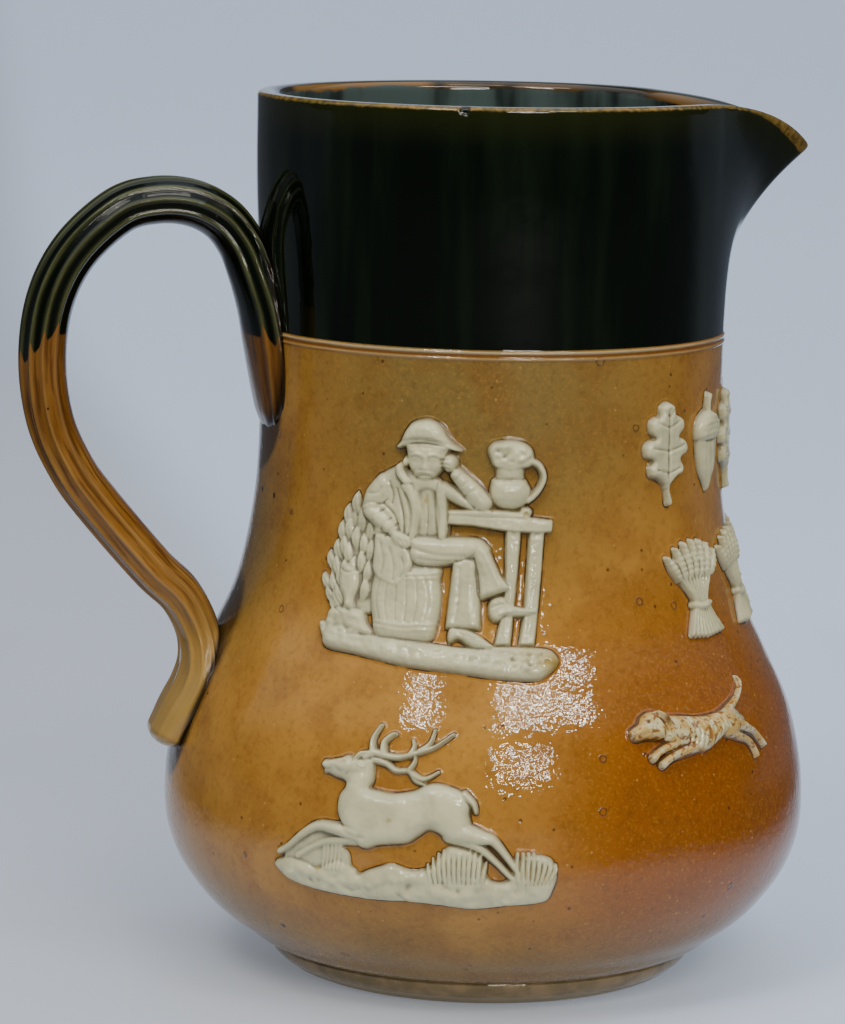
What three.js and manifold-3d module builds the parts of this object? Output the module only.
// A salt-glazed stoneware jug: a thrown vessel with a pulled spout, a reeded strap handle and moulded
// relief sprigs. Millimetres, +Z up, spout towards +X, handle towards -X.
// An azimuth is in degrees, counted from -Y towards +X, so the spout is at 90 and the handle at -90.

import * as THREE from "three";
import { ParametricGeometry } from "three/addons/geometries/ParametricGeometry.js";
import { mergeVertices } from "three/addons/utils/BufferGeometryUtils.js";
import Module from "manifold-3d";

// Vessel
const COLLAR_HEIGHT = 124;
const NECK_HEIGHT = 46;
const JUG_HEIGHT = COLLAR_HEIGHT + NECK_HEIGHT;
const WAIST_RADIUS = 44.65;
const BELLY_RADIUS = 62.2;
const RIM_RADIUS = 45.8;
const WALL = 4;
const FLOOR_THICKNESS = 5;
const SEGMENTS = 48;

// Turned foot
const FOOT_HEIGHT = 5.8;
const FOOT_RADIUS = 41.6;
const STANDING_RADIUS = 35.6;
const STANDING_WIDTH = 4;
const RECESS_DEPTH = 2.2;
const RECESS_SLOPE = 0.6;

// From the standing ring to the foot's top: shares of the foot's overhang and of its height.
const FOOT_CURVE = [[0.36, 0.16], [0.66, 0.38], [0.9, 0.66], [1, 0.93]];

// From the floor's middle to the wall: shares of the wall's inner radius and of its lowest point's height.
const FLOOR_CURVE = [[0.9, 0.25], [0.72, 0]];

// From the foot to the collar: shares of that height, and of the swell from the waist to the belly.
const SWELL = [
  [0.001, -0.09],
  [0.012, 0.03],
  [0.027, 0.156],
  [0.052, 0.392],
  [0.086, 0.617],
  [0.137, 0.848],
  [0.196, 0.981],
  [0.264, 1],
  [0.332, 0.943],
  [0.408, 0.807],
  [0.492, 0.539],
  [0.585, 0.251],
  [0.695, 0.08],
  [0.814, 0.003],
  [1, 0.003],
];

// Pulled spout: its azimuth, half-angle at the rim, reach past the rim, how sharply it narrows to its tip
// and curls outwards on its way up, how wide its tip is rounded, the dip of the tip below the rim, how far
// under the rim the wall starts to run out, and the shares of that depth where the wall has points.
const SPOUT_AZIMUTH = 90;
const SPOUT_HALF_ANGLE = 30;
const SPOUT_REACH = 17.4;
const SPOUT_NARROWING = 1.7;
const SPOUT_CURL = 2.2;
const SPOUT_ROUNDING = 2;
const SPOUT_DROP = 9;
const SPOUT_DROP_ANGLE = 10;
const SPOUT_DEPTH = 39;
const SPOUT_ROWS = [0.08, 0.3, 0.5, 0.66, 0.8, 0.9];

// Handle: its arch's middle lies under the rim by the drop and stands off the wall by the reach.
const HANDLE_AZIMUTH = -90;
const HANDLE_DROP = 20.7;
const HANDLE_TAIL_HEIGHT = 44.4;
const HANDLE_REACH = 42.2;
const HANDLE_WIDTH = 14.4;
const HANDLE_THICKNESS = 9.2;
const REEDS = 10;
const REED_DEPTH = 0.45;

// Stations along the handle, from the tongue pressed on the neck, over the arch, down to the tail on the
// belly: shares of the reach, of the height from the tail to the arch, of the width and of the thickness.
const HANDLE_STATIONS = [
  [-0.062, 0.568, 1, 0.5],
  [-0.05, 0.616, 1.6, 0.68],
  [-0.038, 0.673, 1.86, 0.84],
  [-0.021, 0.74, 1.93, 0.96],
  [0.002, 0.806, 1.76, 1],
  [0.043, 0.871, 1.42, 1],
  [0.092, 0.925, 1.13, 1],
  [0.178, 0.97, 1, 1],
  [0.31, 0.996, 1, 1],
  [0.474, 1, 1, 1],
  [0.64, 0.98, 1, 1],
  [0.839, 0.909, 1, 1],
  [0.96, 0.819, 1, 1],
  [1, 0.709, 1, 1],
  [0.964, 0.599, 1, 1],
  [0.86, 0.511, 1, 1],
  [0.718, 0.442, 1, 1],
  [0.427, 0.33, 1, 0.98],
  [0.251, 0.277, 1.03, 0.96],
  [0.097, 0.214, 1.15, 0.92],
  [0.017, 0.158, 1.42, 0.86],
  [-0.007, 0.111, 1.55, 0.84],
  [0.017, 0.068, 1.48, 0.74],
  [0.038, 0.031, 1.36, 0.64],
  [0.043, 0, 1.3, 0.6],
];

// Relief sprigs. Their moulds were cut for a body of the drawn collar height and waist. On another body
// they keep their shape, at the scale of the tighter of the two, and their heights move with the collar.
const DRAWN_COLLAR_HEIGHT = 124;
const DRAWN_WAIST_RADIUS = 44.65;
const STRETCH = COLLAR_HEIGHT / DRAWN_COLLAR_HEIGHT;
const MOULD_SCALE = Math.min(STRETCH, WAIST_RADIUS / DRAWN_WAIST_RADIUS);
const SPRIG_GAP = 0.3;
const GROUND_RELIEF = 1.6;
const FIGURE_RELIEF = 2.6;
const MOTIF_RELIEF = 1.9;
const TOPER_HEIGHT = 82 * STRETCH;
const TOPER_TURN = 109.5;
const STAG_HEIGHT = 32 * STRETCH;
const STAG_TURN = 117;
const HOUND_HEIGHT = 60 * STRETCH;
const HOUND_TURN = 57;
const LEAF_ROW_HEIGHT = 105.5 * STRETCH;
const LEAF_ROW_COUNT = 7;
const LEAF_ROW_STEP = 18;
const SHEAF_ROW_HEIGHT = 79 * STRETCH;
const SHEAF_ROW_COUNT = 5;
const SHEAF_ROW_STEP = 23;

const wasm = await Module();
wasm.setup();

// Glazes
const DARK_GLAZE = { color: 0x10160f, roughness: 0.12, metalness: 0 };
const TAN_GLAZE = { color: 0xa8763c, roughness: 0.25, metalness: 0 };
const CREAM_SLIP = { color: 0xd8d3c4, roughness: 0.3, metalness: 0 };
const STAINED_SLIP = { color: 0xc9a063, roughness: 0.3, metalness: 0 };

const swellHeights = SWELL.map(([share]) => THREE.MathUtils.lerp(FOOT_HEIGHT, COLLAR_HEIGHT, share));

// The vessel's outer wall from the foot's lip to the rim, as radius and height. The neck flares to the
// rim's radius over its lower two thirds.
function outerWallCurve() {
  const lower = SWELL.map(
    ([, swell], index) =>
      new THREE.Vector2(THREE.MathUtils.lerp(WAIST_RADIUS, BELLY_RADIUS, swell), swellHeights[index]),
  );
  const neck = [
    new THREE.Vector2((WAIST_RADIUS + RIM_RADIUS) / 2, COLLAR_HEIGHT + NECK_HEIGHT / 3),
    new THREE.Vector2(RIM_RADIUS, COLLAR_HEIGHT + (NECK_HEIGHT * 2) / 3),
    new THREE.Vector2(RIM_RADIUS, JUG_HEIGHT),
  ];
  return new THREE.SplineCurve([...lower, ...neck]);
}

const outerWall = outerWallCurve();

// The point of the outer wall at a height, found by halving, with its place along the wall.
function wallAt(height) {
  let low = 0;
  let high = 1;
  for (let halving = 0; halving < 40; halving += 1) {
    const middle = (low + high) / 2;
    if (outerWall.getPointAt(middle).y < height) low = middle;
    else high = middle;
  }
  const place = (low + high) / 2;
  return { place, radius: outerWall.getPointAt(place).x };
}

// A profile moved sideways along its own normals, outwards for a positive distance.
function offsetProfile(points, distance) {
  return points.map((point, index) => {
    const before = points[Math.max(0, index - 1)];
    const after = points[Math.min(points.length - 1, index + 1)];
    const along = after.clone().sub(before).normalize();
    return new THREE.Vector2(point.x + along.y * distance, point.y - along.x * distance);
  });
}

// The wall's profile between two heights, on the same points for the vessel and for all that lies on it.
function wallPoints(lowest, highest) {
  const neckHeights = SPOUT_ROWS.map((share) => JUG_HEIGHT - SPOUT_DEPTH * (1 - share));
  return [...swellHeights, ...neckHeights, JUG_HEIGHT - WALL / 2]
    .filter((height) => height >= lowest && height <= highest)
    .sort((one, other) => one - other)
    .map((height) => new THREE.Vector2(wallAt(height).radius, height));
}

// A lathe turned upright: its profile is radius and height.
function turned(profile) {
  const geometry = new THREE.LatheGeometry(profile, SEGMENTS);
  geometry.rotateX(Math.PI / 2);
  return geometry;
}

function solid(geometry) {
  const bare = geometry.clone();
  bare.deleteAttribute("normal");
  bare.deleteAttribute("uv");
  const merged = mergeVertices(bare, 1e-4);
  return new wasm.Manifold(
    new wasm.Mesh({
      numProp: 3,
      vertProperties: merged.attributes.position.array,
      triVerts: new Uint32Array(merged.index.array),
    }),
  );
}

function geometryOf(made) {
  const mesh = made.getMesh();
  const geometry = new THREE.BufferGeometry();
  geometry.setAttribute("position", new THREE.BufferAttribute(mesh.vertProperties, 3));
  geometry.setIndex(new THREE.BufferAttribute(mesh.triVerts, 1));
  geometry.computeVertexNormals();
  return geometry;
}

function piece(name, geometry, finish) {
  const mesh = new THREE.Mesh(geometry, new THREE.MeshStandardMaterial(finish));
  mesh.name = name;
  return mesh;
}

// The vessel

function footProfile() {
  const recessRadius = STANDING_RADIUS - STANDING_WIDTH;
  return [
    new THREE.Vector2(0, RECESS_DEPTH),
    new THREE.Vector2(recessRadius - RECESS_SLOPE, RECESS_DEPTH),
    new THREE.Vector2(recessRadius, 0),
    new THREE.Vector2(STANDING_RADIUS, 0),
    ...FOOT_CURVE.map(
      ([out, up]) =>
        new THREE.Vector2(THREE.MathUtils.lerp(STANDING_RADIUS, FOOT_RADIUS, out), FOOT_HEIGHT * up),
    ),
  ];
}

// The rim's rounded top, from the outer wall over to the inner wall.
function rimProfile() {
  const half = WALL / 2;
  const centre = new THREE.Vector2(RIM_RADIUS - half, JUG_HEIGHT - half);
  return [60, 90, 120].map((degrees) => {
    const angle = THREE.MathUtils.degToRad(degrees);
    return new THREE.Vector2(half * Math.cos(angle), half * Math.sin(angle)).add(centre);
  });
}

function innerProfile() {
  const floor = RECESS_DEPTH + FLOOR_THICKNESS;
  const wall = offsetProfile(wallPoints(floor + WALL, JUG_HEIGHT), -WALL)
    .filter((point, index) => index % 2 === 0 || point.y > COLLAR_HEIGHT)
    .reverse();
  const lowest = wall.at(-1);
  return [
    ...wall,
    ...FLOOR_CURVE.map(
      ([across, up]) => new THREE.Vector2(lowest.x * across, THREE.MathUtils.lerp(floor, lowest.y, up)),
    ),
    new THREE.Vector2(0, floor),
  ];
}

// Draws the wall under the rim out into the spout and dips its lip.
function pullSpout(geometry) {
  const position = geometry.attributes.position;
  const heading = THREE.MathUtils.degToRad(SPOUT_AZIMUTH - 90);
  for (let index = 0; index < position.count; index += 1) {
    const x = position.getX(index);
    const y = position.getY(index);
    const z = position.getZ(index);
    const radius = Math.hypot(x, y);
    const rise = (z - (JUG_HEIGHT - SPOUT_DEPTH)) / SPOUT_DEPTH;
    if (rise <= 0 || radius === 0) continue;
    const azimuth = Math.atan2(y, x);
    const turn = THREE.MathUtils.radToDeg(azimuth - heading);
    const aside = Math.hypot(turn, SPOUT_ROUNDING) - SPOUT_ROUNDING;
    const pull = Math.max(0, 1 - aside / SPOUT_HALF_ANGLE) ** SPOUT_NARROWING;
    const reach = radius + SPOUT_REACH * pull * rise ** SPOUT_CURL;
    const dip = SPOUT_DROP * Math.exp(-aside / SPOUT_DROP_ANGLE) * rise;
    position.setXYZ(index, reach * Math.cos(azimuth), reach * Math.sin(azimuth), z - dip);
  }
  return geometry;
}

function vessel() {
  const profile = [
    ...footProfile(),
    ...wallPoints(FOOT_HEIGHT, JUG_HEIGHT),
    ...rimProfile(),
    ...innerProfile(),
  ];
  return pullSpout(turned(profile));
}

// The space the vessel takes, grown by the gap that keeps its neighbours clear of it.
function vesselClearance() {
  const wall = offsetProfile(wallPoints(FOOT_HEIGHT, JUG_HEIGHT), SPRIG_GAP);
  return solid(
    turned([new THREE.Vector2(0, wall[0].y), ...wall, new THREE.Vector2(0, wall.at(-1).y)]),
  );
}

// The handle

function strap() {
  const path = new THREE.CatmullRomCurve3(
    HANDLE_STATIONS.map(([standOff, share]) => {
      const height = THREE.MathUtils.lerp(HANDLE_TAIL_HEIGHT, JUG_HEIGHT - HANDLE_DROP, share);
      return new THREE.Vector3(-(wallAt(height).radius + standOff * HANDLE_REACH), 0, height);
    }),
  );
  const section = new THREE.SplineCurve(
    HANDLE_STATIONS.map(
      ([, , width, thickness]) => new THREE.Vector2(width * HANDLE_WIDTH, thickness * HANDLE_THICKNESS),
    ),
  );
  const rows = 2 * (HANDLE_STATIONS.length - 1);
  const capRows = 2;
  const point = (around, along, target) => {
    const centre = path.getPoint(along);
    const tangent = path.getTangent(along);
    const size = section.getPoint(along);
    const fromEnd = Math.min(along, 1 - along) * rows;
    const cap = Math.sqrt(1 - (1 - Math.min(1, fromEnd / capRows)) ** 2);
    const angle = around * 2 * Math.PI;
    const groove = (REED_DEPTH * (1 - Math.cos(REEDS * angle))) / 2;
    const side = (size.x / 2 - groove) * cap * Math.sin(angle);
    const out = (size.y / 2 - groove) * cap * Math.cos(angle);
    target.set(centre.x + out * tangent.z, side, centre.z - out * tangent.x);
  };
  return new ParametricGeometry(point, 2 * REEDS, rows);
}

function handle() {
  const made = solid(strap()).subtract(vesselClearance());
  return geometryOf(made).rotateZ(THREE.MathUtils.degToRad(HANDLE_AZIMUTH + 90));
}

// Sprigs: each is a set of flat outlines in millimetres across and up from the sprig's own centre, laid
// along the vessel's wall and raised from it by the relief of each outline.

function toWall(azimuth, height, [across, up]) {
  const start = wallAt(height).place;
  const place = THREE.MathUtils.clamp(start + (MOULD_SCALE * up) / outerWall.getLength(), 0, 1);
  const at = outerWall.getPointAt(place);
  const turn = THREE.MathUtils.degToRad(azimuth) + (MOULD_SCALE * across) / at.x;
  return new THREE.Vector3(at.x * Math.sin(turn), -at.x * Math.cos(turn), at.y);
}

// The plane that touches the wall at a sprig's centre, as a matrix: x across, y up, z outwards.
function tangentPlane(azimuth, height) {
  const centre = toWall(azimuth, height, [0, 0]);
  const up = toWall(azimuth, height, [0, 1]).sub(toWall(azimuth, height, [0, -1])).normalize();
  const turn = THREE.MathUtils.degToRad(azimuth);
  const across = new THREE.Vector3(Math.cos(turn), Math.sin(turn), 0);
  const outwards = across.clone().cross(up);
  return new THREE.Matrix4().makeBasis(across, up, outwards).setPosition(centre);
}

const reliefShells = new Map();

// A closed skin over the wall, as thick as a relief and clear of the wall by the gap.
function reliefShell(relief) {
  if (!reliefShells.has(relief)) {
    const wall = wallPoints(FOOT_HEIGHT + 1, COLLAR_HEIGHT);
    const inside = offsetProfile(wall, SPRIG_GAP);
    const outside = offsetProfile(wall, SPRIG_GAP + relief);
    const profile = [...outside, ...inside.reverse()];
    reliefShells.set(relief, solid(turned([...profile, profile[0].clone()])));
  }
  return reliefShells.get(relief);
}

function raised(azimuth, height, outline, relief) {
  const plane = tangentPlane(azimuth, height);
  const flatten = plane.clone().invert();
  const corners = outline.map((corner) => {
    const flat = toWall(azimuth, height, corner).applyMatrix4(flatten);
    return new THREE.Vector2(flat.x, flat.y);
  });
  const reach = BELLY_RADIUS / 4;
  const geometry = new THREE.ExtrudeGeometry(new THREE.Shape(corners), {
    depth: 2 * reach,
    bevelEnabled: false,
  });
  geometry.translate(0, 0, -reach);
  geometry.applyMatrix4(plane);
  return solid(geometry).intersect(reliefShell(relief));
}

// A ribbon of one width along a line, for limbs, antler tines and stalks.
function ribbon(line, width) {
  const points = line.map(([across, up]) => new THREE.Vector2(across, up));
  const edges = [offsetProfile(points, width / 2), offsetProfile(points, -width / 2).reverse()];
  return edges.flat().map((point) => [point.x, point.y]);
}

function mirrored(half) {
  const other = half.filter(([across]) => across > 0).map(([across, up]) => [-across, up]);
  return [...half, ...other.reverse()];
}

function sprig(name, finish, azimuth, height, reliefs) {
  const made = reliefs
    .map(([outline, relief]) => raised(azimuth, height, outline, relief))
    .reduce((whole, part) => whole.add(part));
  return piece(name, geometryOf(made), finish);
}

// A seated toper at a table, with a barrel for his seat, a shrub behind him and a jug before him.
const TOPER = [
  [[[-25, -12.5], [-23.5, -15.5], [-10, -16.3], [5, -17.2], [18, -17.8], [22, -15], [20, -12.3],
    [17, -11], [4, -10.3], [-8, -10.3], [-20, -7.5], [-23.5, -9]], GROUND_RELIEF],
  [[[-25.5, 1], [-23, 8], [-20.5, 13], [-18, 15], [-13, 9], [-13, -8], [-22, -8.5], [-25.5, -4]],
    GROUND_RELIEF],
  [[[-13.2, -11], [-14, -3], [-13.5, 4], [-1.6, 4], [-0.7, -3], [-1.6, -11]], FIGURE_RELIEF],
  [[[-17.2, 14], [-14, 20], [-9, 22.3], [-1, 22.3], [3, 21], [7.4, 15], [0, 13.8], [0, 8.5], [-9, 8.5],
    [-14, 7], [-16.5, 10]], FIGURE_RELIEF],
  [[[-9.6, 24], [-8.5, 20.5], [-4.3, 18.8], [0, 20.5], [1.4, 24], [0.4, 25.8], [-8.8, 25.8]],
    FIGURE_RELIEF],
  [[[-10, 25], [-7.6, 28.6], [-4.2, 30.8], [-0.8, 29], [1.9, 25.3], [-4, 26]], FIGURE_RELIEF],
  [[[-14, 8.8], [6, 9.7], [8.4, 6.5], [11.4, 0.3], [9, -2], [6.3, -2], [5, 4.6], [-2, 2.8], [-14, 0.5]],
    FIGURE_RELIEF],
  [[[0.8, 4], [0.5, -8.5], [6.8, -8.5], [5.6, 4.6]], FIGURE_RELIEF],
  [[[1.5, -8], [4, -10.8], [10.5, -11.6], [6, -7.8]], FIGURE_RELIEF],
  [[[8, -2.4], [9.6, -6], [16.6, -4.8], [14, -3.2], [11, -0.5]], FIGURE_RELIEF],
  [[[-0.5, 11.4], [18.3, 10.5], [18.3, 12.8], [13.8, 15.2], [0, 15]], FIGURE_RELIEF],
  [[[10.4, 11.5], [10.6, -11.5], [12.9, -11.5], [12.9, 11.5]], GROUND_RELIEF],
  [[[14.4, 11.5], [14.8, -11.5], [17.2, -11.5], [17, 11.5]], GROUND_RELIEF],
  [[[8.6, 14], [7.1, 17], [8, 21], [6.4, 24.6], [8, 27.2], [12.2, 27.2], [15, 24], [16.5, 21],
    [15.4, 18], [13.4, 14]], FIGURE_RELIEF],
];

// A stag at full stretch over a grassy bank.
const STAG = [
  [[[-23.4, -2.4], [-20, -5.2], [-10, -6.4], [0, -6.8], [14, -7.6], [28.5, -6.2], [31.4, -1], [29.6, 2.4],
    [25, 3], [23, 0], [20, -1.5], [17.5, 3], [12, 4.6], [8, 1], [0.5, 0.4], [-5, -2], [-9, 1.5],
    [-17, 3.4], [-20.5, 0.4]], GROUND_RELIEF],
  [[[-9.4, 9.5], [-8, 6.4], [-3, 3], [4, 4.6], [8, 7.2], [12, 5], [17, 4.6], [16.4, 8], [16.4, 12],
    [13.8, 14.8], [8, 15.2], [2, 13.6], [-3, 13.8], [-2.8, 18.6], [-4.5, 20.2], [-8, 19.4],
    [-13.3, 18.2], [-12.8, 16.6], [-8.4, 15]], FIGURE_RELIEF],
  [ribbon([[-4, 5], [-13, 4.8], [-20.5, 0.2]], 2.2), FIGURE_RELIEF],
  [ribbon([[14.5, 6.5], [20, 5.4], [24.2, -1]], 2.4), FIGURE_RELIEF],
  [ribbon([[-5, 19.4], [-1, 20.6], [5, 21], [10.8, 24.6]], 1.5), FIGURE_RELIEF],
  [ribbon([[-3.4, 20], [-3.7, 23], [-2.6, 25.4]], 1.5), FIGURE_RELIEF],
  [ribbon([[-1.4, 20.6], [-1.2, 23], [0.4, 24.4]], 1.5), FIGURE_RELIEF],
  [ribbon([[4.2, 21], [4, 23.4]], 1.4), FIGURE_RELIEF],
  [ribbon([[6.6, 22], [7.4, 25.4]], 1.4), FIGURE_RELIEF],
  [ribbon([[-4, 19], [0, 18.4], [4, 18], [5.6, 16.6], [9, 17.6]], 1.5), FIGURE_RELIEF],
];

// A hound in full cry with its tail up.
const HOUND = [
  [[[-17.6, -4.4], [-14.6, -2.4], [-12, -1.2], [-9, -1.8], [-5, -2.4], [2, -3], [8, -2.4], [10.4, -3.6],
    [12, -6.4], [9, -8.6], [4, -7.6], [-1, -9.4], [-5, -8.6], [-12, -7], [-17.6, -6.2]], FIGURE_RELIEF],
  [ribbon([[-5, -7.6], [-10, -8.2], [-14.6, -10]], 1.9), FIGURE_RELIEF],
  [ribbon([[-4, -8.6], [-8, -10.2], [-12, -11.4]], 1.8), FIGURE_RELIEF],
  [ribbon([[8, -6.6], [13, -8], [17.4, -9.6]], 2.3), FIGURE_RELIEF],
  [ribbon([[9, -7], [12.6, -9.6], [14.4, -12.4]], 2.1), FIGURE_RELIEF],
  [ribbon([[8, -3.4], [12.6, -0.6], [14.6, 2.2]], 1.7), FIGURE_RELIEF],
];

// A lobed oak leaf on its stalk.
const OAK_LEAF = [
  [mirrored([[0, 9.5], [2, 8.4], [2.1, 6.6], [4.4, 6], [4.6, 4], [3.4, 2.6], [5.7, 1.6], [5.7, -0.6],
    [3.8, -1.6], [4.7, -3.2], [4, -4.8], [2.2, -5], [0.8, -6.8], [0.8, -9.5]]), MOTIF_RELIEF],
];

// An acorn hanging in its cup.
const ACORN = [
  [mirrored([[0, 9.5], [0.8, 9.3], [1, 6.6], [3.4, 5.6], [4.7, 3.4], [4.6, 1.6], [3.9, 1], [3.9, -2],
    [2.8, -5.4], [0.9, -7.8], [0, -9]]), MOTIF_RELIEF],
];

// A barley sheaf tied at its waist.
const SHEAF = [
  [mirrored([[0, 9.8], [4.2, 9.4], [8.2, 7.6], [8.6, 5.6], [5, 1.4], [2.2, -1.6], [2.5, -3.4], [5.6, -9],
    [0, -9.6]]), MOTIF_RELIEF],
];

// The front row of leaves and acorns, and the row of sheaves below it, spread evenly about the spout.
function motifRow(count, step, make) {
  return Array.from({ length: count }, (_, index) =>
    make(index, SPOUT_AZIMUTH + (index - (count - 1) / 2) * step),
  );
}

function leafOrAcorn(index, azimuth) {
  const leaf = index % 2 === 0;
  const name = `${leaf ? "oak_leaf" : "acorn"}_sprig_${index + 1}`;
  return sprig(name, CREAM_SLIP, azimuth, LEAF_ROW_HEIGHT, leaf ? OAK_LEAF : ACORN);
}

function barleySheaf(index, azimuth) {
  return sprig(`sheaf_sprig_${index + 1}`, CREAM_SLIP, azimuth, SHEAF_ROW_HEIGHT, SHEAF);
}

function assembly() {
  const jug = new THREE.Group();
  jug.add(piece("body", vessel(), TAN_GLAZE));
  jug.add(piece("handle", handle(), DARK_GLAZE));
  for (const [side, turn] of [["near", -1], ["far", 1]]) {
    const toper = SPOUT_AZIMUTH + turn * TOPER_TURN;
    const stag = SPOUT_AZIMUTH + turn * STAG_TURN;
    const hound = SPOUT_AZIMUTH + turn * HOUND_TURN;
    jug.add(sprig(`toper_sprig_${side}`, CREAM_SLIP, toper, TOPER_HEIGHT, TOPER));
    jug.add(sprig(`stag_sprig_${side}`, CREAM_SLIP, stag, STAG_HEIGHT, STAG));
    jug.add(sprig(`hound_sprig_${side}`, STAINED_SLIP, hound, HOUND_HEIGHT, HOUND));
  }
  jug.add(...motifRow(LEAF_ROW_COUNT, LEAF_ROW_STEP, leafOrAcorn));
  jug.add(...motifRow(SHEAF_ROW_COUNT, SHEAF_ROW_STEP, barleySheaf));
  return jug;
}

// The part's origin is under the middle of its box, on the surface it stands on.
const jug = assembly();
const box = new THREE.Box3().setFromObject(jug, true);
const middle = box.getCenter(new THREE.Vector3());
jug.position.set(-middle.x, -middle.y, -box.min.z);

const part = new THREE.Group();
part.add(jug);

export default part;
